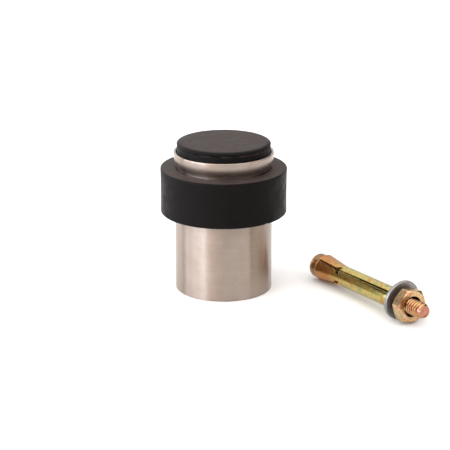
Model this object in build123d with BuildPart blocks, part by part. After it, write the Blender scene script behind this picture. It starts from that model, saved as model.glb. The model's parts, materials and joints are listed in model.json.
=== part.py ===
"""Floor door stop: a steel tube post with a rubber bumper ring and a rubber cap, and its sleeve anchor.

Millimetres. +Z is up. The origin is the centre of the bolt hole on the post's underside, at floor level.
The anchor lies on the floor beside the post, on its washer and on the tips of its sleeve's leaves.
"""
from build123d import *
import os
from math import asin, atan2, cos, hypot, radians, sin, tan

os.makedirs("parts", exist_ok=True)

# ---- Post: stainless tube, drawn in at the neck and flared at the mouth ----
tube_diameter = 30.0
tube_wall = 1.0
post_height = 43.9
neck_depth = 0.47            # how far the neck is drawn in from the tube's outside
shoulder_height = 1.3        # height of the curve from the tube into the neck
mouth_flare = 0.45           # how far the mouth stands out from the tube's outside
mouth_wall = 0.85            # the flared lip is thinner than the tube
flare_height = 4.3           # height of the curve from the neck out to the mouth
lip_edge = 0.3               # rounding of both edges of the lip
foot_chamfer = 0.15

tube_r = tube_diameter / 2
tube_bore_r = tube_r - tube_wall
neck_r = tube_r - neck_depth
neck_bore_r = neck_r - tube_wall
mouth_r = tube_r + mouth_flare
mouth_bore_r = mouth_r - mouth_wall

# ---- Base disc: closes the foot of the tube and carries the bolt hole ----
disc_thickness = 3.0
disc_fit = 0.02              # radial clearance in the tube
bolt_hole_diameter = 7.0
bolt_hole_chamfer = 0.3

# ---- Bumper ring: rubber, seated in the neck ----
bumper_proud = 4.5           # how far the ring stands out from the tube
bumper_height = 14.0
bumper_bottom = 24.8
bumper_dish = 0.1            # how far the side dips in at mid-height
bumper_edge = 0.35
bumper_fit = 0.05            # radial clearance on the neck

bumper_r = tube_r + bumper_proud
bumper_bore_r = neck_r + bumper_fit
bumper_top = bumper_bottom + bumper_height

# ---- Top plug: rubber cap, its hollow stem pushed into the mouth ----
plug_proud = 3.1             # height above the mouth
plug_lip_height = 1.0
plug_lip_step = 0.05         # the lip stands out from the band below it
plug_edge_width = 1.45       # of the rounded edge round the flat top
plug_lip_drop = 0.75         # height of the rounded edge
plug_line_depth = 0.3        # the moulded line under the lip
plug_line_height = 0.3
plug_band_gap = 0.2          # between the plug's band and the mouth
plug_stem_length = 12.0      # below the mouth
plug_stem_fit = 0.06         # radial clearance in the neck's bore
plug_stem_wall = 2.6
plug_cap_thickness = 5.0
rib_count = 3
rib_pitch = 1.8
rib_gap = 0.9
rib_depth = 0.5
stem_lead_in = 0.6

plug_top = post_height + plug_proud
plug_band_r = mouth_bore_r - plug_band_gap
plug_stem_r = neck_bore_r - plug_stem_fit
plug_stem_bottom = post_height - plug_stem_length
plug_lip_r = plug_band_r + plug_lip_step
plug_flat_r = plug_lip_r - plug_edge_width

# ---- Sleeve anchor: stud with a cone, split sleeve, washer and nut ----
# Stations are distances along the stud's axis from the washer's place, towards the threaded end.
stud_diameter = 4.83
stud_front = 10.9            # station of the threaded end
stud_end_chamfer = 0.6
cone_diameter = 7.7
cone_land = 1.5              # the straight part behind the cone
cone_edge = 0.5
sleeve_diameter = 6.45
sleeve_stud_gap = 0.1        # radial clearance on the stud
sleeve_length = 37.4
sleeve_washer_gap = 0.1
leaf_length = 9.2
leaf_tip_diameter = 8.68
leaf_cone_gap = 0.06
leaf_count = 4
slot_width = 0.5
bend_cut_width = 0.6         # the two curved cuts where each slot ends let the leaves bend
bend_cut_arc = 34.0          # degrees
seam_width_back = 0.15       # the sleeve's rolled seam opens from the leaves to the front
seam_width_front = 1.1
seam_angle = 132.0           # degrees about the stud, from the horizontal
washer_diameter = 12.2
washer_hole_diameter = 6.4
washer_thickness = 1.1
washer_edge = 0.25
washer_tilt = 7.4            # degrees: the washer leans on the stud
washer_station = 0.48        # of its front face
washer_stud_gap = 0.03
nut_across_flats = 9.53
nut_thickness = 3.18
nut_station = 2.11           # of its back face
nut_fit = 0.05               # radial clearance of the plain bore on the plain stud
nut_chamfer_drop = 0.5
nut_face_inset = 0.1         # the chamfer's circle lies this far inside the flats
nut_countersink = 0.7
nut_turn = 109.3             # degrees about the stud

stud_r = stud_diameter / 2
cone_r = cone_diameter / 2
sleeve_r = sleeve_diameter / 2
sleeve_bore_r = stud_r + sleeve_stud_gap
sleeve_wall = sleeve_r - sleeve_bore_r
leaf_tip_r = leaf_tip_diameter / 2
washer_r = washer_diameter / 2
washer_hole_r = washer_hole_diameter / 2
nut_corner_r = nut_across_flats / 2 / cos(radians(30))

# The tilted washer stands on the floor. The stud lies low in its hole, unless the nut meets the floor first.
tilt = radians(washer_tilt)
hole_drop = washer_hole_r * cos(tilt) - washer_thickness * sin(tilt) - stud_r - washer_stud_gap
stud_drop = min(hole_drop, washer_r - nut_corner_r)

# The sleeve ends just behind the lowest part of the tilted washer's back.
washer_back = washer_station - washer_thickness * cos(tilt)
washer_back_lean = (sleeve_r + stud_drop + washer_thickness * sin(tilt)) * tan(tilt)
sleeve_front = washer_back - washer_back_lean - sleeve_washer_gap
leaf_tip = sleeve_front - sleeve_length
leaf_bend = leaf_tip + leaf_length
leaf_slope = (leaf_tip_r - sleeve_r) / leaf_length
cone_start = leaf_bend + (sleeve_bore_r - leaf_cone_gap - stud_r) / leaf_slope
cone_full = cone_start - (cone_r - stud_r) / leaf_slope
stud_back = cone_full - cone_land

# ---- How the anchor lies on the floor ----
anchor_from_bumper = 33.2    # the washer's place, in X from the bumper's side
anchor_y = -29.1
anchor_heading = -58.2       # degrees about Z, of the threaded end


def stud_height(rise):
    """Height of the stud's axis at the washer, when it rises to the front by this many radians."""
    return washer_r * cos(rise - tilt) - stud_drop * cos(rise) - washer_station * sin(rise)


stud_rise = 0.0
for settle in range(6):      # the height and the rise depend on each other
    reach = hypot(leaf_tip_r, leaf_tip)
    stud_rise = asin(stud_height(stud_rise) / reach) - atan2(leaf_tip_r, -leaf_tip)

heading = radians(anchor_heading)
stud_axis = Vector(cos(stud_rise) * cos(heading), cos(stud_rise) * sin(heading), sin(stud_rise))
stud_side = Vector(-sin(heading), cos(heading), 0)
stud_up = stud_axis.cross(stud_side)
stud_origin = Vector(bumper_r + anchor_from_bumper, anchor_y, stud_height(stud_rise))


def station_plane(station):
    """Plane across the stud at a station."""
    return Plane(origin=stud_origin + stud_axis * station, x_dir=stud_side, z_dir=stud_axis)


def outward_plane(station, angle):
    """Plane through the stud's axis that faces outwards at an angle, with X along the stud."""
    out = stud_side * cos(radians(angle)) + stud_up * sin(radians(angle))
    return Plane(origin=stud_origin + stud_axis * station, x_dir=stud_axis, z_dir=out)


def section_plane(angle):
    """Half section of the stud: X is the radius at an angle, Y is the station."""
    out = stud_side * cos(radians(angle)) + stud_up * sin(radians(angle))
    return Plane(origin=stud_origin, x_dir=out, z_dir=out.cross(stud_axis))


stud_line = Axis(stud_origin, stud_axis)


def shoulder(lower_r, upper_r, bottom, height):
    """Two tangent arcs from one radius to the next, as cold rolling leaves where the tube narrows or flares."""
    middle = ((lower_r + upper_r) / 2, bottom + height / 2)
    first = TangentArc((lower_r, bottom), middle, tangent=(0, 1))
    TangentArc(middle, (upper_r, bottom + height), tangent=first % 1)


# ---- body_tube ----
shoulder_bottom = bumper_bottom - 0.1 - shoulder_height
with BuildPart() as body_tube:
    with BuildSketch(Plane.XZ) as tube_section:
        with BuildLine():
            Polyline(
                (tube_bore_r, shoulder_bottom),
                (tube_bore_r, 0),
                (tube_r, 0),
                (tube_r, shoulder_bottom),
            )
            shoulder(tube_r, neck_r, shoulder_bottom, shoulder_height)
            Line((neck_r, shoulder_bottom + shoulder_height), (neck_r, bumper_top))
            shoulder(neck_r, mouth_r, bumper_top, flare_height)
            Polyline(
                (mouth_r, bumper_top + flare_height),
                (mouth_r, post_height),
                (mouth_bore_r, post_height),
                (mouth_bore_r, bumper_top + flare_height),
            )
            shoulder(neck_bore_r, mouth_bore_r, bumper_top, flare_height)
            Line((neck_bore_r, bumper_top), (neck_bore_r, shoulder_bottom + shoulder_height))
            shoulder(tube_bore_r, neck_bore_r, shoulder_bottom, shoulder_height)
        make_face()
        fillet(tube_section.vertices().group_by(Axis.Y)[-1], lip_edge)
        chamfer(tube_section.vertices().group_by(Axis.Y)[0].sort_by(Axis.X)[-1], foot_chamfer)
    revolve(axis=Axis.Z)
body_tube.part.label = "body_tube"
export_step(body_tube.part, "parts/body_tube.step")

# ---- base_disc ----
with BuildPart() as base_disc:
    with BuildSketch():
        Circle(tube_bore_r - disc_fit)
        Circle(bolt_hole_diameter / 2, mode=Mode.SUBTRACT)
    extrude(amount=disc_thickness)
    bore_edges = base_disc.edges().filter_by(GeomType.CIRCLE).group_by(SortBy.RADIUS)[0]
    chamfer(bore_edges.sort_by(Axis.Z)[-1], bolt_hole_chamfer)
base_disc.part.label = "base_disc"
export_step(base_disc.part, "parts/base_disc.step")

# ---- bumper_ring ----
with BuildPart() as bumper_ring:
    with BuildSketch(Plane.XZ) as bumper_section:
        with BuildLine():
            Polyline(
                (bumper_r, bumper_bottom),
                (bumper_bore_r, bumper_bottom),
                (bumper_bore_r, bumper_top),
                (bumper_r, bumper_top),
            )
            ThreePointArc(
                (bumper_r, bumper_top),
                (bumper_r - bumper_dish, (bumper_bottom + bumper_top) / 2),
                (bumper_r, bumper_bottom),
            )
        make_face()
        fillet(bumper_section.vertices(), bumper_edge)
    revolve(axis=Axis.Z)
bumper_ring.part.label = "bumper_ring"
export_step(bumper_ring.part, "parts/bumper_ring.step")

# ---- top_plug ----
line_top = plug_top - plug_lip_height
line_bottom = line_top - plug_line_height
cavity_r = plug_stem_r - plug_stem_wall
cavity_top = plug_top - plug_cap_thickness
with BuildPart() as top_plug:
    with BuildSketch(Plane.XZ):
        with BuildLine():
            Line((0, plug_top), (plug_flat_r, plug_top))
            TangentArc((plug_flat_r, plug_top), (plug_lip_r, plug_top - plug_lip_drop), tangent=(1, 0))
            Polyline(
                (plug_lip_r, plug_top - plug_lip_drop),
                (plug_lip_r, line_top),
                (plug_lip_r - plug_line_depth, line_top),
                (plug_lip_r - plug_line_depth, line_bottom),
                (plug_band_r, line_bottom),
                (plug_band_r, bumper_top + flare_height),
            )
            shoulder(plug_stem_r, plug_band_r, bumper_top, flare_height)
            Polyline(
                (plug_stem_r, bumper_top),
                (plug_stem_r, plug_stem_bottom + stem_lead_in),
                (plug_stem_r - stem_lead_in, plug_stem_bottom),
                (cavity_r, plug_stem_bottom),
                (cavity_r, cavity_top),
                (0, cavity_top),
                (0, plug_top),
            )
        make_face()
    revolve(axis=Axis.Z)
    for rib in range(rib_count):
        gap_bottom = plug_stem_bottom + stem_lead_in + rib_pitch * (rib + 1) - rib_gap
        with BuildSketch(Plane.XY.offset(gap_bottom)):
            Circle(plug_stem_r + 1)
            Circle(plug_stem_r - rib_depth, mode=Mode.SUBTRACT)
        extrude(amount=rib_gap, mode=Mode.SUBTRACT)
top_plug.part.label = "top_plug"
export_step(top_plug.part, "parts/top_plug.step")

# ---- anchor_stud ----
with BuildPart() as anchor_stud:
    with BuildSketch(section_plane(0)) as stud_section:
        with BuildLine():
            Polyline(
                (0, stud_back),
                (cone_r, stud_back),
                (cone_r, cone_full),
                (stud_r, cone_start),
                (stud_r, stud_front),
                (0, stud_front),
                (0, stud_back),
            )
        make_face()
        back_corner = stud_section.vertices().group_by(Axis.Y)[0].sort_by(Axis.X)[-1]
        fillet(back_corner, cone_edge)
        front_corner = stud_section.vertices().group_by(Axis.Y)[-1].sort_by(Axis.X)[-1]
        chamfer(front_corner, stud_end_chamfer)
    revolve(axis=stud_line)
anchor_stud.part.label = "anchor_stud"
export_step(anchor_stud.part, "parts/anchor_stud.step")

# ---- anchor_sleeve ----
with BuildPart() as anchor_sleeve:
    with BuildSketch(section_plane(0)):
        with BuildLine():
            Polyline(
                (sleeve_bore_r, sleeve_front),
                (sleeve_r, sleeve_front),
                (sleeve_r, leaf_bend),
                (leaf_tip_r, leaf_tip),
                (leaf_tip_r - sleeve_wall, leaf_tip),
                (sleeve_bore_r, leaf_bend),
                (sleeve_bore_r, sleeve_front),
            )
        make_face()
    revolve(axis=stud_line)
    for leaf in range(leaf_count):
        slot_angle = seam_angle + leaf * 360 / leaf_count
        with BuildSketch(outward_plane(leaf_tip, slot_angle)):
            Rectangle(2 * leaf_length, slot_width)
        extrude(amount=leaf_tip_r + 1, mode=Mode.SUBTRACT)
        with BuildSketch(section_plane(slot_angle - bend_cut_arc / 2)):
            with Locations((sleeve_r, leaf_bend)):
                Rectangle(2 * sleeve_wall + 0.5, bend_cut_width)
        revolve(axis=stud_line, revolution_arc=bend_cut_arc, mode=Mode.SUBTRACT)
    seam_length = sleeve_front - leaf_bend
    with BuildSketch(outward_plane(leaf_bend, seam_angle)):
        with BuildLine():
            Polyline(
                (0, -seam_width_back / 2),
                (seam_length + 1, -seam_width_front / 2),
                (seam_length + 1, seam_width_front / 2),
                (0, seam_width_back / 2),
                close=True,
            )
        make_face()
    extrude(amount=sleeve_r + 1, mode=Mode.SUBTRACT)
anchor_sleeve.part.label = "anchor_sleeve"
export_step(anchor_sleeve.part, "parts/anchor_sleeve.step")

# ---- anchor_washer ----
washer_face = Plane(
    origin=stud_origin + stud_axis * washer_station + stud_up * stud_drop,
    x_dir=stud_side,
    z_dir=stud_axis * cos(tilt) - stud_up * sin(tilt),
)
with BuildPart() as anchor_washer:
    with BuildSketch(washer_face):
        Circle(washer_r)
        Circle(washer_hole_r, mode=Mode.SUBTRACT)
    extrude(amount=-washer_thickness)
    rims = anchor_washer.edges().filter_by(GeomType.CIRCLE)
    fillet(rims.group_by(SortBy.RADIUS)[-1], washer_edge)
anchor_washer.part.label = "anchor_washer"
export_step(anchor_washer.part, "parts/anchor_washer.step")

# ---- anchor_nut ----
nut_face_r = nut_across_flats / 2 - nut_face_inset
nut_bore_r = stud_r + nut_fit
nut_front = nut_station + nut_thickness
with BuildPart() as anchor_nut:
    with BuildSketch(station_plane(nut_station)):
        RegularPolygon(nut_across_flats / 2, 6, major_radius=False, rotation=nut_turn)
    extrude(amount=nut_thickness)
    with BuildSketch(section_plane(0)):
        with BuildLine():
            Polyline(
                (nut_bore_r + nut_countersink, nut_station),
                (nut_face_r, nut_station),
                (nut_corner_r, nut_station + nut_chamfer_drop),
                (nut_corner_r, nut_front - nut_chamfer_drop),
                (nut_face_r, nut_front),
                (nut_bore_r + nut_countersink, nut_front),
                (nut_bore_r, nut_front - nut_countersink),
                (nut_bore_r, nut_station + nut_countersink),
                close=True,
            )
        make_face()
    revolve(axis=stud_line, mode=Mode.INTERSECT)
anchor_nut.part.label = "anchor_nut"
export_step(anchor_nut.part, "parts/anchor_nut.step")
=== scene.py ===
"""Looks of a floor door stop: brushed stainless post, rubber bumper ring and cap, plated sleeve anchor."""
import json
from math import asin, cos, pi, radians, sin

import bmesh
import bpy
from mathutils import Matrix, Vector, noise


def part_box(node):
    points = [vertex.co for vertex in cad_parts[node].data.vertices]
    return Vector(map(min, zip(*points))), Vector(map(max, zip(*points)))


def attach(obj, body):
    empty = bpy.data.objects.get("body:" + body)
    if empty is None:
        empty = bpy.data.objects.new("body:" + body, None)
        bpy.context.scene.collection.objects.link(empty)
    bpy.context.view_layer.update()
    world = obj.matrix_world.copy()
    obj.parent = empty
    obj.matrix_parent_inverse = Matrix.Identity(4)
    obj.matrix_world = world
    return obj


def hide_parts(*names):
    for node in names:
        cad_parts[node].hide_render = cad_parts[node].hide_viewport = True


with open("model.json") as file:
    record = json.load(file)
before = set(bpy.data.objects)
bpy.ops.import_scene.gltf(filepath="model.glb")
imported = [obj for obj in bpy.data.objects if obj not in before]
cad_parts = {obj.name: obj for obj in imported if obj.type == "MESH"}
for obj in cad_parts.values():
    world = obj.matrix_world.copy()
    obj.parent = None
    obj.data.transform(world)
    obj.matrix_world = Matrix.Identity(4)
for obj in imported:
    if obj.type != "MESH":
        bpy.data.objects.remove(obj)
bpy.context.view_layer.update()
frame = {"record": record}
scene = bpy.context.scene

# ---- Camera ----
# A long lens some 0.49 m away looks down at the post from the front, as for a shop's product picture.
# It stands square to the post, so it only tips down.
camera_data = bpy.data.cameras.new("camera")
camera_data.lens = 124.2
camera_data.shift_x = 0.0029
camera = bpy.data.objects.new("camera", camera_data)
camera.location = (0, -0.4592, 0.1710)
camera.rotation_euler = (radians(71.78), 0, 0)
scene.collection.objects.link(camera)
scene.camera = camera
scene.view_settings.view_transform = "Standard"


# ---- Light tent and floor ----
# The stop stands on matt white paper inside a white light tent. A soft light panel stands left of the
# front, the front itself is open to a dim room, and a black flag hangs at the right behind the post.
# A dark slit parts the panel from the white wall behind it, and the roof is brighter towards the camera.
def linear(hex_colour):
    """An sRGB hex colour as a linear RGBA tuple."""
    parts = [int(hex_colour[i:i + 2], 16) / 255 for i in (1, 3, 5)]
    return tuple(c / 12.92 if c <= 0.04045 else ((c + 0.055) / 1.055) ** 2.4 for c in parts) + (1,)


def add(owner, kind, inputs=None, stops=(), **settings):
    """Adds a node with its settings, input values or links, and the stops of its colour ramp."""
    node = owner.node_tree.nodes.new(kind)
    for name, value in settings.items():
        setattr(node, name, value)
    for name, value in (inputs or {}).items():
        if isinstance(value, bpy.types.NodeSocket):
            owner.node_tree.links.new(value, node.inputs[name])
        else:
            node.inputs[name].default_value = value
    for number, (position, colour) in enumerate(stops):
        points = node.color_ramp.elements
        point = points[number] if number < 2 else points.new(position)
        point.position = position
        point.color = colour
    return node


# Brightness and tint round the tent by bearing in degrees: 0 is the camera's side, right is positive.
# A colour ramp holds nothing above 1, so it has shares of the brightest band, made up by the strength.
PANEL = "#EDF4FF"
WHITE = "#FFFDFB"
WARM = "#FFE6D3"
TENT_BANDS = (
    (-180, 1.0, WHITE), (-146, 1.9, WHITE), (-132, 2.6, WHITE), (-117, 3.0, WHITE), (-111, 0.2, WHITE),
    (-106, 0.2, PANEL), (-101, 4.4, PANEL), (-92, 6.2, PANEL), (-85, 4.2, PANEL), (-76, 6.8, PANEL),
    (-62, 7.2, PANEL), (-56, 7.6, PANEL), (-50, 9.6, PANEL), (-44, 8.2, PANEL), (-39, 4.4, PANEL),
    (-34, 3.0, WHITE), (-27, 2.1, WARM), (-18, 1.2, WARM), (-8, 0.4, WARM), (5, 0.0, WARM), (28, 0.1, WARM),
    (55, 0.9, WARM), (62, 0.9, WARM), (67, 0.4, WARM), (85, 0.2, WARM), (97, 0.0, WARM), (126, 0.0, WARM),
    (131, 0.15, WHITE), (140, 0.6, WHITE), (180, 1.0, WHITE),
)
BRIGHTEST = max(light for angle, light, tint in TENT_BANDS)
ROOF_FRONT = 2.9             # brightness of the tent's roof on the camera's side
ROOF_BACK = 1.3
ROOF_REACH = 0.7             # the roof's brightness changes this far to the front and the back
WALL_TOP = 0.45              # sine of the height angle where the walls turn into the roof
WALL_BLEND = 0.1             # half the height over which they turn

world = bpy.data.worlds.new("light_tent")
world.use_nodes = True
scene.world = world
direction = add(world, "ShaderNodeTexCoord")
part = add(world, "ShaderNodeSeparateXYZ", {"Vector": direction.outputs["Generated"]})
depth = add(world, "ShaderNodeMath", {0: part.outputs["Y"], 1: -1.0}, operation="MULTIPLY")
bearing = add(world, "ShaderNodeMath", {0: part.outputs["X"], 1: depth.outputs[0]}, operation="ARCTAN2")
turn = add(world, "ShaderNodeMath", {0: bearing.outputs[0], 1: 0.5 / pi, 2: 0.5}, operation="MULTIPLY_ADD")
walls = add(
    world, "ShaderNodeValToRGB", {"Fac": turn.outputs[0]},
    stops=[
        (0.5 + angle / 360, tuple(channel * light / BRIGHTEST for channel in linear(tint)))
        for angle, light, tint in TENT_BANDS
    ],
)
roof = add(
    world, "ShaderNodeMapRange",
    {"Value": part.outputs["Z"], "From Min": WALL_TOP - WALL_BLEND, "From Max": WALL_TOP + WALL_BLEND},
    interpolation_type="SMOOTHSTEP",
)
roof_light = add(
    world, "ShaderNodeMapRange",
    {
        "Value": part.outputs["Y"], "From Min": -ROOF_REACH, "From Max": ROOF_REACH,
        "To Min": ROOF_FRONT / BRIGHTEST, "To Max": ROOF_BACK / BRIGHTEST,
    },
)
# In a Mix node for colours, input 0 is the share, 6 and 7 are the two colours, and output 2 is the mix.
tent = add(
    world, "ShaderNodeMix",
    {0: roof.outputs["Result"], 6: walls.outputs["Color"], 7: roof_light.outputs["Result"]},
    data_type="RGBA",
)
tent_light = add(world, "ShaderNodeBackground", {"Color": tent.outputs[2], "Strength": BRIGHTEST})
# The camera itself sees plain white beyond the paper.
backdrop = add(world, "ShaderNodeBackground", {"Color": (1, 1, 1, 1), "Strength": 1.0})
ray = add(world, "ShaderNodeLightPath")
seen = add(
    world, "ShaderNodeMixShader",
    {"Fac": ray.outputs["Is Camera Ray"], 1: tent_light.outputs[0], 2: backdrop.outputs[0]},
)
world.node_tree.links.new(seen.outputs[0], world.node_tree.nodes["World Output"].inputs["Surface"])


def new_material(name):
    """A node material and its Principled shader."""
    material = bpy.data.materials.new(name)
    material.use_nodes = True
    return material, material.node_tree.nodes["Principled BSDF"]


# Matt white paper: it takes soft shadows and shows no shine.
FLOOR_HALF_WIDTH = 3.0
paper, shader = new_material("matt_white_paper")
shader.inputs["Base Color"].default_value = linear("#DFDDDB")
shader.inputs["Roughness"].default_value = 0.95
shader.inputs["Specular IOR Level"].default_value = 0.0
mesh = bmesh.new()
bmesh.ops.create_grid(mesh, x_segments=1, y_segments=1, size=FLOOR_HALF_WIDTH)
floor_data = bpy.data.meshes.new("floor")
mesh.to_mesh(floor_data)
mesh.free()
floor_data.materials.append(paper)
floor = bpy.data.objects.new("floor", floor_data)
scene.collection.objects.link(floor)


# ---- Post tube ----
# A stainless tube with a 1 mm wall, rolled in to a neck that holds the bumper ring, and flared out again
# to a straight mouth. Outlines are radius and height in millimetres, and are spun about the post's axis.
MM = 0.001
TURNED_STEPS = 256
TUBE_R = 15.0
TUBE_WALL = 1.0
NECK_R = 14.53
MOUTH_R = 15.45
SHOULDER_HEIGHT = 1.3
RING_CLEARANCE = 0.1         # the shoulder ends this far below the ring
FLARE_HEIGHT = 4.3
FLARE_LOWER = 0.3            # share of the flare's height in its lower, hollow arc
MOUTH_WALL = 0.85
LIP_EDGE = 0.3
FOOT_CHAMFER = 0.15
FOOT_CLEAR = 1.0             # a loop this far above the foot keeps the shading straight


def arc(centre, radius, start, end, steps):
    """Points of a round stretch of an outline, from one angle to another in degrees, ends included."""
    angles = [radians(start + (end - start) * i / steps) for i in range(steps + 1)]
    return [(centre[0] + radius * cos(a), centre[1] + radius * sin(a)) for a in angles]


def roll(first_r, last_r, bottom, height, lower_share=0.5, steps=10):
    """Points of two tangent arcs that lead upwards from one radius to another, as cold rolling leaves."""
    step_in = abs(last_r - first_r)
    whole_r = (step_in ** 2 + height ** 2) / step_in / 2
    lower_r = whole_r * lower_share
    upper_r = whole_r - lower_r
    side = 1 if last_r > first_r else -1
    angles = [asin(height / whole_r) * i / steps for i in range(steps + 1)]
    points = [(first_r + side * lower_r * (1 - cos(a)), bottom + lower_r * sin(a)) for a in angles]
    upper = [(last_r - side * upper_r * (1 - cos(a)), bottom + height - upper_r * sin(a)) for a in angles]
    return points + upper[-2::-1]


def turned(outline, closed=True, steps=TURNED_STEPS):
    """A closed outline, or one that starts and ends on the axis, spun into a shell that faces outwards."""
    mesh = bmesh.new()
    corners = [mesh.verts.new((r, 0, z)) for r, z in outline]
    edges = [mesh.edges.new(pair) for pair in zip(corners, corners[1:])]
    if closed:
        edges.append(mesh.edges.new((corners[-1], corners[0])))
    bmesh.ops.spin(
        mesh, geom=corners + edges, cent=(0, 0, 0), axis=(0, 0, 1), angle=2 * pi, steps=steps,
        use_merge=True,
    )
    bmesh.ops.remove_doubles(mesh, verts=mesh.verts, dist=1e-5)
    bmesh.ops.recalc_face_normals(mesh, faces=mesh.faces)
    return mesh


def piece(name, mesh, material, body, node, place=Matrix.Identity(4), sharp=40):
    """Makes the finished object of a bmesh in millimetres, puts it in place and ties it to the frame."""
    bmesh.ops.transform(mesh, matrix=place @ Matrix.Scale(MM, 4), verts=mesh.verts)
    data = bpy.data.meshes.new(name)
    mesh.to_mesh(data)
    mesh.free()
    data.materials.append(material)
    data.shade_smooth()
    data.set_sharp_from_angle(angle=radians(sharp))
    made = bpy.data.objects.new(name, data)
    scene.collection.objects.link(made)
    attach(made, body)
    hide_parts(node)
    return made


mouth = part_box("body_tube")[1] / MM
ring_low, ring_high = (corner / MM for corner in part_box("bumper_ring"))
mouth_bore_r = MOUTH_R - MOUTH_WALL
shoulder_bottom = ring_low.z - RING_CLEARANCE - SHOULDER_HEIGHT
neck_top = ring_high.z
outline = [(TUBE_R - TUBE_WALL, 0), (TUBE_R - FOOT_CHAMFER, 0)]
outline += [(TUBE_R, FOOT_CHAMFER), (TUBE_R, FOOT_CLEAR)]
outline += roll(TUBE_R, NECK_R, shoulder_bottom, SHOULDER_HEIGHT)
outline += roll(NECK_R, MOUTH_R, neck_top, FLARE_HEIGHT, FLARE_LOWER)
outline += arc((MOUTH_R - LIP_EDGE, mouth.z - LIP_EDGE), LIP_EDGE, 0, 90, 6)
outline += arc((mouth_bore_r + LIP_EDGE, mouth.z - LIP_EDGE), LIP_EDGE, 90, 180, 6)
outline += roll(NECK_R - TUBE_WALL, mouth_bore_r, neck_top, FLARE_HEIGHT, FLARE_LOWER)[::-1]
outline += roll(TUBE_R - TUBE_WALL, NECK_R - TUBE_WALL, shoulder_bottom, SHOULDER_HEIGHT)[::-1]

# Satin stainless steel, brushed round the tube: shine is sharp from side to side and smeared up and down.
# The brush lines are 0.1 mm apart in truth and drawn some 0.25 mm apart, so that they show.
BRUSH_LINE = 0.25
BRUSH_LENGTH = 12.0
SMUDGE = 5.0                 # the cloudy patches that handling leaves
BURNISHED_ABOVE = 23.5       # the forming rolls burnished the neck and mouth, from this height
BURNISHED_FULLY = 24.5
BURNISHED_SHARE = 0.75       # of the roughness is left there, so the shine is sharper


def wire(material, shader, **sockets):
    """Links outputs into the shader's inputs. Underscores in the names stand for spaces."""
    for name, socket in sockets.items():
        material.node_tree.links.new(socket, shader.inputs[name.replace("_", " ")])


steel, shader = new_material("satin_brushed_stainless_steel")
shader.inputs["Metallic"].default_value = 1.0
shader.inputs["Anisotropic"].default_value = 1.0
shader.inputs["Anisotropic Rotation"].default_value = 0.25
spot = add(steel, "ShaderNodeTexCoord").outputs["Object"]
along = add(
    steel, "ShaderNodeMapping",
    {"Vector": spot, "Scale": (1 / (BRUSH_LENGTH * MM), 1 / (BRUSH_LENGTH * MM), 1 / (BRUSH_LINE * MM))},
)
brush = add(
    steel, "ShaderNodeTexNoise",
    {"Vector": along.outputs[0], "Scale": 1.0, "Detail": 4.0, "Roughness": 0.6},
)
smudge = add(
    steel, "ShaderNodeTexNoise",
    {"Vector": spot, "Scale": 1 / (SMUDGE * MM), "Detail": 5.0, "Roughness": 0.62},
)
brush_tone = add(
    steel, "ShaderNodeValToRGB", {"Fac": brush.outputs["Fac"]},
    stops=[(0.3, linear("#A19389")), (0.7, linear("#A89A90"))],
)
smudge_tone = add(
    steel, "ShaderNodeValToRGB", {"Fac": smudge.outputs["Fac"]},
    stops=[(0.35, linear("#F1EDE9")), (0.62, linear("#FFFFFF"))],
)
steel_tone = add(
    steel, "ShaderNodeMix", {0: 0.8, 6: brush_tone.outputs["Color"], 7: smudge_tone.outputs["Color"]},
    data_type="RGBA", blend_type="MULTIPLY",
)
satin = add(steel, "ShaderNodeMapRange", {"Value": smudge.outputs["Fac"], "To Min": 0.27, "To Max": 0.33})
height = add(steel, "ShaderNodeSeparateXYZ", {"Vector": spot})
burnish = add(
    steel, "ShaderNodeMapRange",
    {
        "Value": height.outputs["Z"], "From Min": BURNISHED_ABOVE * MM, "From Max": BURNISHED_FULLY * MM,
        "To Min": 1.0, "To Max": BURNISHED_SHARE,
    },
)
shine = add(
    steel, "ShaderNodeMath", {0: satin.outputs["Result"], 1: burnish.outputs["Result"]},
    operation="MULTIPLY",
)
brush_dents = add(
    steel, "ShaderNodeBump",
    {"Height": brush.outputs["Fac"], "Strength": 0.06, "Distance": 0.02 * MM},
)
brush_way = add(steel, "ShaderNodeTangent", direction_type="RADIAL", axis="Z")
wire(
    steel, shader, Base_Color=steel_tone.outputs[2], Roughness=shine.outputs[0],
    Normal=brush_dents.outputs["Normal"], Tangent=brush_way.outputs["Tangent"],
)
piece("post_tube", turned(outline), steel, "post", "body_tube")

# ---- Base disc ----
# A plain steel disc pressed into the foot of the tube, with the hole that the anchor's stud passes.
# Its faces are turned, and left bare but for a film of oil.
DISC_FIT = 0.02
DISC_R = TUBE_R - TUBE_WALL - DISC_FIT
DISC_THICKNESS = 3.0
BOLT_HOLE_R = 3.5
HOLE_CHAMFER = 0.3
DISC_EDGE = 0.1
outline = [
    (BOLT_HOLE_R, 0), (DISC_R - DISC_EDGE, 0), (DISC_R, DISC_EDGE), (DISC_R, DISC_THICKNESS - DISC_EDGE),
    (DISC_R - DISC_EDGE, DISC_THICKNESS), (BOLT_HOLE_R + HOLE_CHAMFER, DISC_THICKNESS),
    (BOLT_HOLE_R, DISC_THICKNESS - HOLE_CHAMFER),
]
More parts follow.
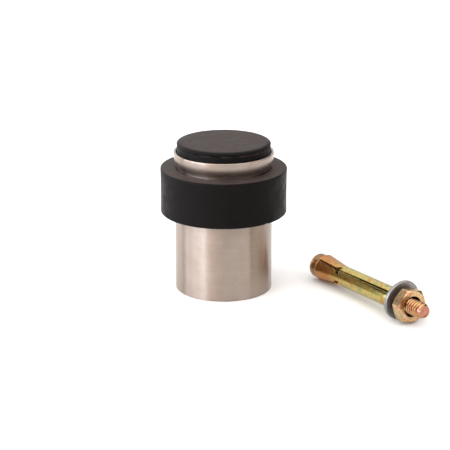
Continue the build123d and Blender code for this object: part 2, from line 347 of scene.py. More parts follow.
# Bright mild steel, with concentric turning marks that give it a faint sheen like a record's. They are
# 0.25 mm apart in truth and drawn 1.57 mm apart, so that they show.
TURNING_MARK = 1.57
WAVE_UNIT = 2 * pi / 20      # the wave texture's pitch at a scale of 1
disc_steel, shader = new_material("turned_mild_steel")
shader.inputs["Metallic"].default_value = 1.0
spot = add(disc_steel, "ShaderNodeTexCoord").outputs["Object"]
marks = add(
    disc_steel, "ShaderNodeTexWave",
    {"Vector": spot, "Scale": WAVE_UNIT / (TURNING_MARK * MM), "Distortion": 1.5, "Detail": 2.0},
    wave_type="RINGS", rings_direction="Z",
)
disc_tone = add(
    disc_steel, "ShaderNodeValToRGB", {"Fac": marks.outputs["Fac"]},
    stops=[(0.2, linear("#8F8B86")), (0.8, linear("#B2ADA7"))],
)
disc_satin = add(
    disc_steel, "ShaderNodeMapRange", {"Value": marks.outputs["Fac"], "To Min": 0.38, "To Max": 0.5}
)
wire(disc_steel, shader, Base_Color=disc_tone.outputs["Color"], Roughness=disc_satin.outputs["Result"])
piece("base_plate", turned(outline), disc_steel, "post", "base_disc")

# ---- Bumper ring ----
# A moulded rubber ring that the door meets. It is stretched over the mouth and seated in the neck, and
# its side dips in a little.
RING_R = 19.5
RING_FIT = 0.05
RING_BORE_R = NECK_R + RING_FIT
RING_EDGE = 0.35
RING_DISH = 0.1              # how far the side dips in at its middle
RING_ROWS = 16
ring_middle = (ring_low.z + ring_high.z) / 2
ring_half = (ring_high.z - ring_low.z) / 2
side_reach = 1 - RING_EDGE / ring_half
rows = [side_reach * (2 * i / RING_ROWS - 1) for i in range(1, RING_ROWS)]
outline = arc((RING_BORE_R + RING_EDGE, ring_low.z + RING_EDGE), RING_EDGE, 180, 270, 6)
outline += arc((RING_R - RING_EDGE, ring_low.z + RING_EDGE), RING_EDGE, 270, 350, 6)
outline += [(RING_R - RING_DISH * (1 - t * t), ring_middle + ring_half * t) for t in rows]
outline += arc((RING_R - RING_EDGE, ring_high.z - RING_EDGE), RING_EDGE, 10, 90, 6)
outline += arc((RING_BORE_R + RING_EDGE, ring_high.z - RING_EDGE), RING_EDGE, 90, 180, 6)
mesh = turned(outline)
# A small flash nick is left on the lower edge, where the mould was fed.
NICK_BEARING = radians(-48)
NICK_SIZE = 0.9
NICK_DEPTH = 0.25            # the rubber's edge is this much higher in the nick's middle
nick = Vector((RING_R * cos(NICK_BEARING), RING_R * sin(NICK_BEARING), ring_low.z))
for vert in mesh.verts:
    near = 1 - (vert.co - nick).length / NICK_SIZE
    if near > 0:
        vert.co.z += NICK_DEPTH * near

# Black rubber straight from the mould. The grain is 0.35 mm, and a grey-brown bloom lies in soft patches
# some millimetres wide. Faces that look up are paler than the sides: partly more bloom, partly painted
# light from above.
RUBBER_GRAIN = 0.35
BLOOM_PATCH = 3.0
PATCH_LOW, PATCH_HIGH = 0.36, 0.64      # the pattern's values between which patches come and go
TORN_LOW, TORN_HIGH = 0.47, 0.62        # and those between which torn spots come and go
FACES_UP = 0.9               # a face looks up where its normal's height is past this
# Torn spots are paler: partly torn rubber, partly painted highlights where the lumpy edge catches light.
TORN_BLOOM_AND_HIGHLIGHT = 0.3             # torn spots have up to this much more of the bloom


def moulded_rubber(name, deep, bloom, least, most, torn=None):
    """Black moulded rubber with a pale bloom between two amounts, for a part's sides and its upward faces.
    On upward faces the amount is partly painted light from above.

    Between the heights of torn, where flash was trimmed off, the rubber is torn up and paler: partly
    rough torn rubber, partly painted highlights where the lumpy edge catches light.
    """
    rubber, shader = new_material(name)
    shader.inputs["Specular IOR Level"].default_value = 0.08
    shader.inputs["Sheen Weight"].default_value = 0.05
    shader.inputs["Sheen Roughness"].default_value = 0.35
    coordinates = add(rubber, "ShaderNodeTexCoord")
    spot = coordinates.outputs["Object"]
    grain = add(
        rubber, "ShaderNodeTexNoise", {"Vector": spot, "Scale": 1 / (RUBBER_GRAIN * MM), "Detail": 3.0}
    )
    patches = add(
        rubber, "ShaderNodeTexNoise",
        {"Vector": spot, "Scale": 1 / (BLOOM_PATCH * MM), "Detail": 8.0, "Roughness": 0.68},
    )
    facing = add(rubber, "ShaderNodeSeparateXYZ", {"Vector": coordinates.outputs["Normal"]})
    # Faces that look up get the most: more bloom there, and painted light from above.
    upward = add(
        rubber, "ShaderNodeMapRange",
        {
            "Value": facing.outputs["Z"], "From Min": FACES_UP, "From Max": 1.0,
            "To Min": least, "To Max": most,
        },
    )
    patchy = add(
        rubber, "ShaderNodeMapRange",
        {
            "Value": patches.outputs["Fac"], "From Min": PATCH_LOW, "From Max": PATCH_HIGH,
            "To Min": 0.35, "To Max": 1.35,
        },
    )
    amount = add(
        rubber, "ShaderNodeMath", {0: upward.outputs["Result"], 1: patchy.outputs["Result"]},
        operation="MULTIPLY",
    )
    if torn:
        height = add(rubber, "ShaderNodeSeparateXYZ", {"Vector": spot}).outputs["Z"]
        above = add(rubber, "ShaderNodeMath", {0: height, 1: torn[0] * MM}, operation="GREATER_THAN")
        below = add(rubber, "ShaderNodeMath", {0: height, 1: torn[1] * MM}, operation="LESS_THAN")
        line = add(
            rubber, "ShaderNodeMath", {0: above.outputs[0], 1: below.outputs[0]}, operation="MULTIPLY"
        )
        # Pale spots along the trimmed line: torn rubber and painted highlights of its lumpy edge.
        torn_and_highlight = add(
            rubber, "ShaderNodeMapRange",
            {
                "Value": patches.outputs["Fac"], "From Min": TORN_LOW, "From Max": TORN_HIGH,
                "To Max": TORN_BLOOM_AND_HIGHLIGHT,
            },
        )
        scar_and_highlight = add(
            rubber, "ShaderNodeMath", {0: line.outputs[0], 1: torn_and_highlight.outputs["Result"]},
            operation="MULTIPLY",
        )
        amount = add(rubber, "ShaderNodeMath", {0: amount.outputs[0], 1: scar_and_highlight.outputs[0]}, operation="ADD")
    tone = add(
        rubber, "ShaderNodeMix", {0: amount.outputs[0], 6: linear(deep), 7: linear(bloom)},
        data_type="RGBA",
    )
    matt = add(
        rubber, "ShaderNodeMapRange",
        {
            "Value": patches.outputs["Fac"], "From Min": PATCH_LOW, "From Max": PATCH_HIGH,
            "To Min": 0.4, "To Max": 0.66,
        },
    )
    dents = add(
        rubber, "ShaderNodeBump",
        {"Height": grain.outputs["Fac"], "Strength": 0.5, "Distance": 0.08 * MM},
    )
    wire(
        rubber, shader, Base_Color=tone.outputs[2], Roughness=matt.outputs["Result"],
        Normal=dents.outputs["Normal"],
    )
    return rubber


BLACK = "#060505"
ring_rubber = moulded_rubber("moulded_black_rubber_ring", BLACK, "#5E4C46", least=0.018, most=0.32)
piece("bumper_ring_rubber", mesh, ring_rubber, "bumper", "bumper_ring")

# ---- Top plug ----
# A moulded rubber cap, whose hollow ribbed stem is pushed into the mouth. Round its side run a lip and,
# below it, the rough line where the mould's flash was trimmed off.
plug_low, plug_high = (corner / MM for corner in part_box("top_plug"))
BAND_GAP = 0.2               # between the mouth's bore and the band that fills it
BAND_R = mouth_bore_r - BAND_GAP
LIP_PROUD = 0.05
LIP_R = BAND_R + LIP_PROUD
LIP_HEIGHT = 1.0
LIP_ROUND_WIDTH = 1.45
LIP_ROUND_DROP = 0.75
LIP_STEP = 0.08              # the lip's lower edge steps in by this
LIP_STEP_HEIGHT = 0.15
LINE_DEPTH = 0.3
LINE_HEIGHT = 0.36
LINE_SLANT = 0.02
BAND_STEP = 0.05             # the band's upper edge steps in by this
BAND_STEP_HEIGHT = 0.12
STEM_FIT = 0.06
STEM_R = NECK_R - TUBE_WALL - STEM_FIT
STEM_WALL = 2.6
STEM_LEAD_IN = 0.6
RIB_PITCH = 1.8
RIB_GAP = 0.9
RIB_DEPTH = 0.5
RIB_SLANT = 0.1
CAP_THICKNESS = 5.0
FLAT_STEPS = 10
top = plug_high.z
line_top = top - LIP_HEIGHT
flat_r = LIP_R - LIP_ROUND_WIDTH
outline = [(flat_r * i / FLAT_STEPS, top) for i in range(FLAT_STEPS + 1)]
outline += [
    (flat_r + LIP_ROUND_WIDTH * sin(a), top - LIP_ROUND_DROP * (1 - cos(a)))
    for a in (radians(angle) for angle in range(8, 89, 8))
]
line_bottom = line_top - LINE_HEIGHT
outline += [(LIP_R, line_top + LIP_STEP_HEIGHT), (LIP_R - LIP_STEP, line_top)]
outline += [(LIP_R - LINE_DEPTH, line_top - LINE_SLANT)]
outline += [(LIP_R - LINE_DEPTH, line_bottom + BAND_STEP_HEIGHT)]
outline += [(BAND_R - BAND_STEP, line_bottom), (BAND_R, line_bottom - BAND_STEP_HEIGHT)]
outline += roll(STEM_R, BAND_R, neck_top, FLARE_HEIGHT)[::-1]
lowest_rib = plug_low.z + STEM_LEAD_IN
for rib in (3, 2, 1):
    gap_top = lowest_rib + RIB_PITCH * rib
    gap_bottom = gap_top - RIB_GAP
    outline += [(STEM_R, gap_top), (STEM_R - RIB_DEPTH, gap_top - RIB_SLANT)]
    outline += [(STEM_R - RIB_DEPTH, gap_bottom + RIB_SLANT), (STEM_R, gap_bottom)]
outline += [(STEM_R, lowest_rib), (STEM_R - STEM_LEAD_IN, plug_low.z), (STEM_R - STEM_WALL, plug_low.z)]
outline += [(STEM_R - STEM_WALL, top - CAP_THICKNESS), (0, top - CAP_THICKNESS)]
mesh = turned(outline, closed=False)
# The trimmed line is lumpy: its upper edge wanders where the flash was cut off.
LUMP_LENGTH = 1.1
LUMP_HEIGHT = 0.8
LUMP_LOW, LUMP_HIGH = -0.4, 0.2         # the pattern is cut off at these values, so the edge has flats
EDGE_REACH = 0.2             # what lies this near to the line's upper edge moves with it
TORN_DROP = 0.15             # the torn rubber reaches this far below the line
for vert in mesh.verts:
    r = Vector((vert.co.x, vert.co.y)).length
    if r > LIP_R - LINE_DEPTH - 0.01 and abs(vert.co.z - line_top) < EDGE_REACH:
        vert.co.z += LUMP_HEIGHT * max(LUMP_LOW, min(LUMP_HIGH, noise.noise(vert.co / LUMP_LENGTH)))
cap_rubber = moulded_rubber(
    "moulded_black_rubber_cap", BLACK, "#5E4A44", least=0.006, most=0.25,
    torn=(line_bottom - TORN_DROP, line_top - TORN_DROP),
)
piece("cap_plug", mesh, cap_rubber, "plug", "top_plug")

# ---- Anchor stud ----
# A rolled number 10-24 stud: screw thread at the nut's end, a cone at the other that spreads the sleeve.
# The anchor's pieces are made along Z from the washer's place, then laid down on the floor.
joints = {joint["name"]: joint for joint in frame["record"]["behaviour"]["joints"]}
stud_axis = Vector(joints["nut_spin"]["axis"]).normalized()
stud_origin = Vector(joints["nut_spin"]["pos_m"])
stud_side = Vector((0, 0, 1)).cross(stud_axis).normalized()
stud_up = stud_axis.cross(stud_side)
laid_down = Matrix.Translation(stud_origin) @ Matrix((stud_side, stud_up, stud_axis)).transposed().to_4x4()
THREAD_PITCH = 25.4 / 24
THREAD_DEPTH = 0.6
THREAD_STEPS = 72            # faces round one turn
THREAD_START = 109.3         # degrees: the thread and the nut's corners share their seams
STUD_R = 2.415
STUD_FRONT = 10.9
STUD_BACK = -42.4
THREAD_BACK = -2.0
END_R = 1.8
END_SLOPE = 0.5              # the long chamfer at the threaded end
CONE_R = 3.85
CONE_START = -29.07
CONE_FULL = -40.9
CONE_EDGE = 0.5
END_RIM = 0.12               # the narrow flat ring round the dished end face
END_DISH_R = END_R - 0.35
END_DISH = 0.12
BACK_RING_R = 1.2
POLE_R = 0.001               # a rim this small is merged into one point
# One turn of the thread's outline: share of the depth, share of the pitch.
THREAD_OUTLINE = (
    (0, 0), (0, 0.10), (0.5, 0.26), (0.9, 0.385), (1, 0.44),
    (1, 0.56), (0.9, 0.615), (0.5, 0.74), (0, 0.90), (0, 1),
)


def thread(crest_r, low, high, limit):
    """A right-hand screw surface between two heights. limit gives the radius that a place is held to."""
    # It is made with spare turns at both ends, which are then pressed flat at the two heights.
    first_turn = int(low / THREAD_PITCH) - 2
    turns = int((high - low) / THREAD_PITCH) + 4
    start = radians(THREAD_START)
    mesh = bmesh.new()
    corners = []
    for share, rise in THREAD_OUTLINE:
        r = crest_r - THREAD_DEPTH * (1 - share)
        corners.append(mesh.verts.new((r * cos(start), r * sin(start), (first_turn + rise) * THREAD_PITCH)))
    edges = [mesh.edges.new(pair) for pair in zip(corners, corners[1:])]
    bmesh.ops.spin(
        mesh, geom=corners + edges, cent=(0, 0, 0), axis=(0, 0, 1), angle=2 * pi * turns,
        steps=THREAD_STEPS * turns, dvec=(0, 0, THREAD_PITCH / THREAD_STEPS),
    )
    bmesh.ops.remove_doubles(mesh, verts=mesh.verts, dist=1e-4)
    for vert in mesh.verts:
        height = min(max(vert.co.z, low), high)
        out = Vector((vert.co.x, vert.co.y))
        out = out.normalized() * limit(height, out.length)
        vert.co = (out.x, out.y, height)
    bmesh.ops.remove_doubles(mesh, verts=mesh.verts, dist=1e-4)
    return mesh


def rim(mesh, height):
    """The open edges at a height."""
    return [e for e in mesh.edges if e.is_boundary and all(abs(v.co.z - height) < 1e-3 for v in e.verts)]


def carry_on(mesh, edges, outline):
    """Extrudes an open rim along an outline of radii and heights. Either may depend on the direction."""
    for radius, height in outline:
        made = bmesh.ops.extrude_edge_only(mesh, edges=edges)["geom"]
        for vert in (item for item in made if isinstance(item, bmesh.types.BMVert)):
            out = Vector((vert.co.x, vert.co.y)).normalized()
            r = radius(out) if callable(radius) else radius
            z = height(out) if callable(height) else height
            vert.co = (out.x * r, out.y * r, z)
        edges = [item for item in made if isinstance(item, bmesh.types.BMEdge)]
    return edges


def stud_limit(height, r):
    """Holds the thread inside the end's chamfer, and lets it run out into the shank."""
    run_out = STUD_R - (height - THREAD_BACK)
    return max(min(r, END_R + (STUD_FRONT - height) * END_SLOPE), run_out)


mesh = thread(STUD_R, THREAD_BACK, STUD_FRONT, stud_limit)
back = [(STUD_R, CONE_START), (CONE_R, CONE_FULL), (CONE_R, STUD_BACK + CONE_EDGE)]
back += [
    (CONE_R - CONE_EDGE * (1 - cos(a)), STUD_BACK + CONE_EDGE * (1 - sin(a)))
    for a in (radians(angle) for angle in (20, 40, 60, 80, 90))
]
back += [(BACK_RING_R, STUD_BACK), (POLE_R, STUD_BACK)]
front = [(END_R - END_RIM, STUD_FRONT)]
front += [(END_DISH_R, STUD_FRONT - END_DISH), (POLE_R, STUD_FRONT - END_DISH)]
carry_on(mesh, rim(mesh, THREAD_BACK), back)
carry_on(mesh, rim(mesh, STUD_FRONT), front)
bmesh.ops.remove_doubles(mesh, verts=mesh.verts, dist=4e-3)
bmesh.ops.recalc_face_normals(mesh, faces=mesh.faces)

# Yellow-chromated zinc: a thin gold film with pink, green and olive clouds, over the fine lines that the
# drawing of the metal left. The film is thicker at the leaves and the cone, where it has one deeper tone.
# The lines are finer than 0.1 mm in truth, and 0.25 mm apart here, so that they show.
CLOUD = 2.6
FLECK = 0.6                  # dull spots in the film
DRAW_LINE = 0.25
DRAW_LENGTH = 11.1
CONE_TONE_START = -26.0      # the deeper tone starts at this station along the stud
CONE_TONE_FULL = -34.0
CONE_TONE_SHARE = 0.7
CLOUD_LOW = 0.28             # the pattern's value at the first of the cloud colours
CLOUD_SPAN = 0.44


def yellow_zinc(name, clouds, cone_tone, roughness, shade_and_stains=()):
    """Yellow zinc with colour clouds that change tone towards the cone.

    Each entry is a colour, its strength, the radius that it lies within, and the stations along the
    stud where it starts and ends. Dark entries are painted shade in recesses; the others are stains of the
    film's own colour.
    """
    zinc, shader = new_material(name)
    shader.inputs["Metallic"].default_value = 1.0
    spot = add(zinc, "ShaderNodeTexCoord").outputs["Object"]
    # The mapping turns the pattern so that its Z runs along the stud, in metres from the washer's place.
    turn = laid_down.to_3x3().to_quaternion().inverted().to_euler()
    shift = -(laid_down.to_3x3().inverted() @ stud_origin)
    local = add(zinc, "ShaderNodeMapping", {"Vector": spot, "Location": shift, "Rotation": turn})
    station = add(zinc, "ShaderNodeSeparateXYZ", {"Vector": local.outputs[0]})
    cloud = add(
        zinc, "ShaderNodeTexNoise",
        {
            "Vector": local.outputs[0], "Scale": 1 / (CLOUD * MM),
            "Detail": 3.0, "Roughness": 0.6, "Distortion": 0.3,
        },
    )
    fleck = add(
        zinc, "ShaderNodeTexNoise",
        {"Vector": local.outputs[0], "Scale": 1 / (FLECK * MM), "Detail": 3.0},
    )
    film = add(
        zinc, "ShaderNodeValToRGB", {"Fac": cloud.outputs["Fac"]},
        stops=[
            (CLOUD_LOW + CLOUD_SPAN * i / (len(clouds) - 1), linear(colour))
            for i, colour in enumerate(clouds)
        ],
    )
    towards_cone = add(
        zinc, "ShaderNodeMapRange",
        {
            "Value": station.outputs["Z"], "From Min": CONE_TONE_START * MM,
            "From Max": CONE_TONE_FULL * MM, "To Max": CONE_TONE_SHARE,
        },
    )
    warm = add(
        zinc, "ShaderNodeMix",
        {0: towards_cone.outputs["Result"], 6: film.outputs["Color"], 7: linear(cone_tone)},
        data_type="RGBA",
    )
    dull = add(
        zinc, "ShaderNodeValToRGB", {"Fac": fleck.outputs["Fac"]},
        stops=[(0.3, linear("#C9BBA5")), (0.6, linear("#FFFFFF"))],
    )
    tone = add(
        zinc, "ShaderNodeMix", {0: 0.4, 6: warm.outputs[2], 7: dull.outputs["Color"]},
        data_type="RGBA", blend_type="MULTIPLY",
    )
    across = add(zinc, "ShaderNodeVectorMath", {0: local.outputs[0], 1: (1, 1, 0)}, operation="MULTIPLY")
    reach = add(zinc, "ShaderNodeVectorMath", {0: across.outputs[0]}, operation="LENGTH").outputs["Value"]
    # Mixes in each entry's colour: painted shade in the recesses, and the stud end's own pinker film.
    for colour, strength, radius, first, last in shade_and_stains:
        within = add(zinc, "ShaderNodeMath", {0: reach, 1: radius * MM}, operation="LESS_THAN")
        after = add(
            zinc, "ShaderNodeMath", {0: station.outputs["Z"], 1: first * MM}, operation="GREATER_THAN"
        )
        before = add(
            zinc, "ShaderNodeMath", {0: station.outputs["Z"], 1: last * MM}, operation="LESS_THAN"
        )
        between = add(
            zinc, "ShaderNodeMath", {0: after.outputs[0], 1: before.outputs[0]}, operation="MULTIPLY"
        )
        here = add(
            zinc, "ShaderNodeMath", {0: within.outputs[0], 1: between.outputs[0]}, operation="MULTIPLY"
        )
        shade_and_stain_share = add(zinc, "ShaderNodeMath", {0: here.outputs[0], 1: strength}, operation="MULTIPLY")
        tone = add(
            zinc, "ShaderNodeMix", {0: shade_and_stain_share.outputs[0], 6: tone.outputs[2], 7: linear(colour)},
            data_type="RGBA",
        )
    gloss = add(
        zinc, "ShaderNodeMapRange",
        {"Value": fleck.outputs["Fac"], "To Min": roughness - 0.06, "To Max": roughness + 0.08},
    )
    drawn = add(
        zinc, "ShaderNodeMapping",
        {
            "Vector": local.outputs[0],
            "Scale": (1 / (DRAW_LINE * MM), 1 / (DRAW_LINE * MM), 1 / (DRAW_LENGTH * MM)),
        },
    )
    lines = add(zinc, "ShaderNodeTexNoise", {"Vector": drawn.outputs[0], "Scale": 1.0, "Detail": 2.0})
    dents = add(
        zinc, "ShaderNodeBump",
        {"Height": lines.outputs["Fac"], "Strength": 0.15, "Distance": 0.04 * MM},
    )
    wire(
        zinc, shader, Base_Color=tone.outputs[2], Roughness=gloss.outputs["Result"],
        Normal=dents.outputs["Normal"],
    )
    return zinc


# Painted shade, a dark brown, lies where the gaps are in shade: on the shank inside the sleeve, on the
# sleeve's inner wall and in the nut's thread. The stud's front end is pinker than the rest.
GAP_SHADE = "#2E2014"
PINK = "#B86A6A"
SHANK_SHADE_R = 2.65           # just past the shank's own radius
SHANK_SHADE_FRONT = -1.5
END_PINK_R = END_R - 0.3
stud_zinc = yellow_zinc(
    "pink_gold_zinc_stud", clouds=("#94606A", "#AC7A5C", "#BC9668", "#8C7C68"),
    cone_tone="#7E6040", roughness=0.22,
    # The shank inside the sleeve gets painted shade, and the front end its own pinker film.
    shade_and_stains=(
        (GAP_SHADE, 1.0, SHANK_SHADE_R, CONE_START - 1, SHANK_SHADE_FRONT),
        (PINK, 0.35, END_PINK_R, STUD_FRONT - 1, STUD_FRONT + 1),
    ),
)
piece(
    "anchor_stud_threaded", mesh, stud_zinc, "anchor", "anchor_stud",
    laid_down, sharp=50,
)

# ---- Anchor sleeve ----
# A blank stamped from 0.7 mm sheet with slots and curved bend cuts, rolled up so that its seam stays open
# towards the washer, with its four leaves sprung out over the cone.
SLEEVE_R = 3.225
SLEEVE_WALL = 0.71
SLEEVE_FRONT = -1.217
LEAF_LENGTH = 9.2
LEAF_TIP_R = 4.34
LEAF_TIP = -38.617
LEAF_BEND = LEAF_TIP + LEAF_LENGTH
BEND_SOFTNESS = 1.6          # half the length over which the sheet curves at the bend
SLOT_HALF = 0.25
SLOT_TIP_HALF = 0.12
CUT_HALF = 0.95              # half the height of a bend cut
CUT_REACH = 24.0             # degrees to each side of its slot
CUT_CURVE = 1.1              # how far a cut's ends curve towards the washer
CUT_FADE = 3.0               # the curve dies out this far along the sleeve
CUT_SIDE_FADE = 20.0         # and over these degrees past a cut's end
CUT_NARROWING = 0.15         # a cut is narrower by this share at its ends
SEAM_ANGLE = 132.0
SEAM_BACK_HALF = 0.075
SEAM_FRONT_HALF = 0.3
STAMPED_EDGE = 0.1
COLUMN = 4.0                 # degrees between lines along the sleeve
COLUMN_CLEAR = 0.06          # no such line runs nearer than this to a slot's or a cut's edge
LEAF_ROW = 0.6               # between lines across the leaves
BEND_ROW = 0.4               # between lines across the bend
ROW_CLEAR = 0.1
per_degree = radians(1) * SLEEVE_R
blank_width = 360 * per_degree
mesh = bmesh.new()
corners = [
    mesh.verts.new((x, y, 0))
    for x, y in ((0, LEAF_TIP), (blank_width, LEAF_TIP), (blank_width, SLEEVE_FRONT), (0, SLEEVE_FRONT))
]
mesh.faces.new(corners)
# Lines are cut along and across the blank, close together at the leaves and the bend.
slots = [90 * i * per_degree for i in range(5)]
columns = {round(COLUMN * i * per_degree, 4) for i in range(1, int(360 / COLUMN))}
for slot in slots:
    edges_here = [slot + side * half for side in (-1, 1) for half in (SLOT_HALF, CUT_REACH * per_degree)]
    columns = {x for x in columns if min(abs(x - edge) for edge in edges_here) > COLUMN_CLEAR}
    columns |= set(edges_here)
rows = {LEAF_TIP + 0.5 + i * LEAF_ROW for i in range(14)}
rows |= {LEAF_BEND + 0.7 + i * BEND_ROW for i in range(6)} | {-24.0, -20.0, -15.0, -10.0, -5.0}
rows = {y for y in rows if abs(y - LEAF_BEND) > CUT_HALF + ROW_CLEAR}
rows |= {LEAF_BEND - CUT_HALF, LEAF_BEND + CUT_HALF}
for x in sorted(columns):
    if 0 < x < blank_width:
        everything = mesh.verts[:] + mesh.edges[:] + mesh.faces[:]
        bmesh.ops.bisect_plane(mesh, geom=everything, plane_co=(x, 0, 0), plane_no=(1, 0, 0), dist=1e-5)
for y in sorted(rows):
    everything = mesh.verts[:] + mesh.edges[:] + mesh.faces[:]
    bmesh.ops.bisect_plane(mesh, geom=everything, plane_co=(0, y, 0), plane_no=(0, 1, 0), dist=1e-5)


def punched(point):
    """True where the punch takes the sheet away: in a slot, or in the bend cut across its end."""
    across = min(abs(point.x - slot) for slot in slots)
    in_slot = across < SLOT_HALF and point.y < LEAF_BEND
    return in_slot or (across < CUT_REACH * per_degree and abs(point.y - LEAF_BEND) < CUT_HALF)


waste = [face for face in mesh.faces if punched(face.calc_center_median())]
bmesh.ops.delete(mesh, geom=waste, context="FACES")
for vert in mesh.verts:
    slot = min(slots, key=lambda x: abs(vert.co.x - x))
    across = vert.co.x - slot
    degrees_off = abs(across) / per_degree
    side_fade = max(0, 1 - max(0, degrees_off - CUT_REACH) / CUT_SIDE_FADE)
    spread = min(degrees_off / CUT_REACH, 1) ** 2 * side_fade
    near_cut = max(0, 1 - abs(vert.co.y - LEAF_BEND) / CUT_FADE)
    if abs(vert.co.y - LEAF_BEND) < CUT_HALF + 1e-4 and degrees_off < CUT_REACH + 1:
        kept_share = 1 - CUT_NARROWING * min(degrees_off / CUT_REACH, 1) ** 3
        vert.co.y = LEAF_BEND + (vert.co.y - LEAF_BEND) * kept_share
    # Slots close a little towards the leaves' tips, and the seam opens towards the washer.
    if vert.co.y < LEAF_BEND and abs(across) < SLOT_HALF + 1e-3:
        share = (LEAF_BEND - vert.co.y) / LEAF_LENGTH
        vert.co.x = slot + (1 if across > 0 else -1) * (SLOT_HALF + (SLOT_TIP_HALF - SLOT_HALF) * share)
    vert.co.y += CUT_CURVE * spread * near_cut
for vert in mesh.verts:
    if vert.co.y > LEAF_BEND:
        share = (vert.co.y - LEAF_BEND) / (SLEEVE_FRONT - LEAF_BEND)
        gap = SEAM_BACK_HALF + (SEAM_FRONT_HALF - SEAM_BACK_HALF) * share
        vert.co.x = gap + vert.co.x * (blank_width - 2 * gap) / blank_width
bmesh.ops.recalc_face_normals(mesh, faces=mesh.faces)
bmesh.ops.solidify(mesh, geom=mesh.faces[:], thickness=SLEEVE_WALL)
bmesh.ops.recalc_face_normals(mesh, faces=mesh.faces)
stamped = [e for e in mesh.edges if len(e.link_faces) == 2 and e.calc_face_angle() > radians(60)]
bmesh.ops.bevel(
    mesh, geom=stamped, offset=STAMPED_EDGE, offset_type="OFFSET", segments=2, profile=0.5,
    affect="EDGES", material=-1, clamp_overlap=True,
)
sheet_top = max(vert.co.z for vert in mesh.verts)
leaf_slope = (LEAF_TIP_R - SLEEVE_R) / LEAF_LENGTH
for vert in mesh.verts:
    beyond = LEAF_BEND - vert.co.y
    flare = max(0, beyond)
    if abs(beyond) < BEND_SOFTNESS:
        flare = (beyond + BEND_SOFTNESS) ** 2 / (4 * BEND_SOFTNESS)
    r = SLEEVE_R + leaf_slope * flare + vert.co.z - sheet_top
    angle = radians(SEAM_ANGLE) + vert.co.x / SLEEVE_R
    vert.co = (r * cos(angle), r * sin(angle), vert.co.y)
bmesh.ops.recalc_face_normals(mesh, faces=mesh.faces)
# The sheet's film is yellower, with green clouds, and its leaves are copper-coloured.
# Painted shade on the sleeve's inner wall, which lies in shade behind the seam and slots.
SLEEVE_SHADE_R = SLEEVE_R - SLEEVE_WALL + 0.05
sleeve_zinc = yellow_zinc(
    "green_gold_zinc_sleeve", clouds=("#A87C54", "#B89A54", "#C8B46A", "#9CA064", "#B48E70"),
    cone_tone="#B4683E", roughness=0.20, shade_and_stains=((GAP_SHADE, 1.0, SLEEVE_SHADE_R, LEAF_BEND - 1, 0),),
)
piece("anchor_sleeve_split", mesh, sleeve_zinc, "anchor", "anchor_sleeve", laid_down)

# ---- Anchor washer ----
# A flat washer, punched from steel sheet and plated grey, loose on the stud. It leans in the gap between
# the sleeve and the nut, with its top towards the nut.
WASHER_R = 6.1
WASHER_HOLE_R = 3.2
WASHER_THICKNESS = 1.1
WASHER_EDGE = 0.25
HOLE_EDGE = 0.1
WASHER_TILT = 7.4            # degrees
WASHER_STEPS = 96
washer_low, washer_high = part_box("anchor_washer")
half = WASHER_THICKNESS / 2
outline = arc((WASHER_R - WASHER_EDGE, -half + WASHER_EDGE), WASHER_EDGE, -90, 0, 5)
outline += arc((WASHER_R - WASHER_EDGE, half - WASHER_EDGE), WASHER_EDGE, 0, 90, 5)
outline += arc((WASHER_HOLE_R + HOLE_EDGE, half - HOLE_EDGE), HOLE_EDGE, 90, 180, 3)
outline += arc((WASHER_HOLE_R + HOLE_EDGE, -half + HOLE_EDGE), HOLE_EDGE, 180, 270, 3)
lean = Matrix.Translation((washer_low + washer_high) / 2) @ laid_down.to_3x3().to_4x4()
lean = lean @ Matrix.Rotation(radians(WASHER_TILT), 4, "X")
# Clear zinc on steel: plain grey, duller than the yellow parts, with fine scuffs from the tumbling drum.
SCUFF = 0.6
grey_zinc, shader = new_material("clear_zinc_washer")
shader.inputs["Metallic"].default_value = 1.0
spot = add(grey_zinc, "ShaderNodeTexCoord").outputs["Object"]
scuffs = add(
    grey_zinc, "ShaderNodeTexNoise",
    {"Vector": spot, "Scale": 1 / (SCUFF * MM), "Detail": 5.0, "Roughness": 0.65},
)
washer_tone = add(
    grey_zinc, "ShaderNodeValToRGB", {"Fac": scuffs.outputs["Fac"]},
    stops=[(0.3, linear("#7C7A79")), (0.65, linear("#999797"))],
)
washer_gloss = add(
    grey_zinc, "ShaderNodeMapRange", {"Value": scuffs.outputs["Fac"], "To Min": 0.36, "To Max": 0.5}
)
washer_dents = add(
    grey_zinc, "ShaderNodeBump",
    {"Height": scuffs.outputs["Fac"], "Strength": 0.2, "Distance": 0.04 * MM},
)
wire(
    grey_zinc, shader, Base_Color=washer_tone.outputs["Color"], Roughness=washer_gloss.outputs["Result"],
    Normal=washer_dents.outputs["Normal"],
)
mesh = turned(outline, steps=WASHER_STEPS)
piece("anchor_washer_flat", mesh, grey_zinc, "washer", "anchor_washer", lean)

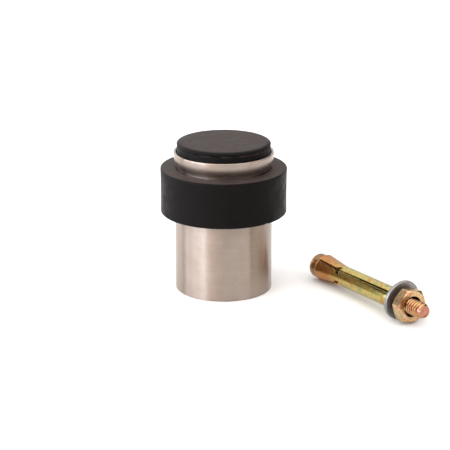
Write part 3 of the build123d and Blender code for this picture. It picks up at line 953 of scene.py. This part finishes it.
# ---- Anchor nut ----
# A steel hexagon nut, chamfered and countersunk on both faces and plated yellow. Its thread is cut to run
# on the stud's, with a small clearance.
NUT_FLAT = 9.53 / 2          # from the axis to a flat
NUT_BACK = 2.11
NUT_FRONT = 5.29
NUT_TURN = THREAD_START
NUT_FIT = 0.05
COUNTERSINK = 0.7
SINK_SLOPE = 0.7
FACE_R = NUT_FLAT - 0.1      # the flat part of each face
CHAMFER_DROP = 0.5
CORNER_EDGE = 0.12
corner_r = NUT_FLAT / cos(radians(30))
bore_r = STUD_R + NUT_FIT
sink_r = bore_r + COUNTERSINK


def nut_limit(height, r):
    """Opens the bore into the countersinks at both faces."""
    to_face = min(height - NUT_BACK, NUT_FRONT - height)
    return max(r, sink_r - to_face * SINK_SLOPE)


def hexagon(out):
    """The radius of the nut's outline in a direction. A corner lies at the nut's turn."""
    off_corner = (Vector((1, 0)).angle_signed(out) * -1 - radians(NUT_TURN)) % (pi / 3)
    return NUT_FLAT / cos(off_corner - pi / 6)


def chamfered(face, inwards):
    """The heights of a face's outer edge by direction: the chamfer takes the most off the corners."""
    chamfer_slope = CHAMFER_DROP / (corner_r - FACE_R)
    return lambda out: face + inwards * chamfer_slope * (hexagon(out) - FACE_R)


mesh = thread(bore_r, NUT_BACK, NUT_FRONT, nut_limit)
hex_edges = []
for face, inwards in ((NUT_BACK, 1), (NUT_FRONT, -1)):
    hex_edges += carry_on(mesh, rim(mesh, face), [(FACE_R, face), (hexagon, chamfered(face, inwards))])
bmesh.ops.bridge_loops(mesh, edges=hex_edges)
bmesh.ops.recalc_face_normals(mesh, faces=mesh.faces)
upright = [
    e for e in mesh.edges
    if abs(e.verts[0].co.z - e.verts[1].co.z) > 1 and e.calc_face_angle(0) > radians(45)
]
bmesh.ops.bevel(
    mesh, geom=upright, offset=CORNER_EDGE, offset_type="OFFSET", segments=2, profile=0.5,
    affect="EDGES", material=-1,
)
# The nut's film is peach and gold. The nut is nowhere near the cone, so its last tone doesn't show.
# Painted shade in the nut's bore and countersinks, which lie in shade.
NUT_SHADE_R = sink_r + 0.03
nut_zinc = yellow_zinc(
    "peach_gold_zinc_nut", clouds=("#A8745A", "#BC8C68", "#D4B084", "#A49872", "#B88870"),
    cone_tone="#B88870", roughness=0.28, shade_and_stains=((GAP_SHADE, 1.0, NUT_SHADE_R, 0, 9),),
)
piece("anchor_nut_hex", mesh, nut_zinc, "nut", "anchor_nut", laid_down, sharp=30)
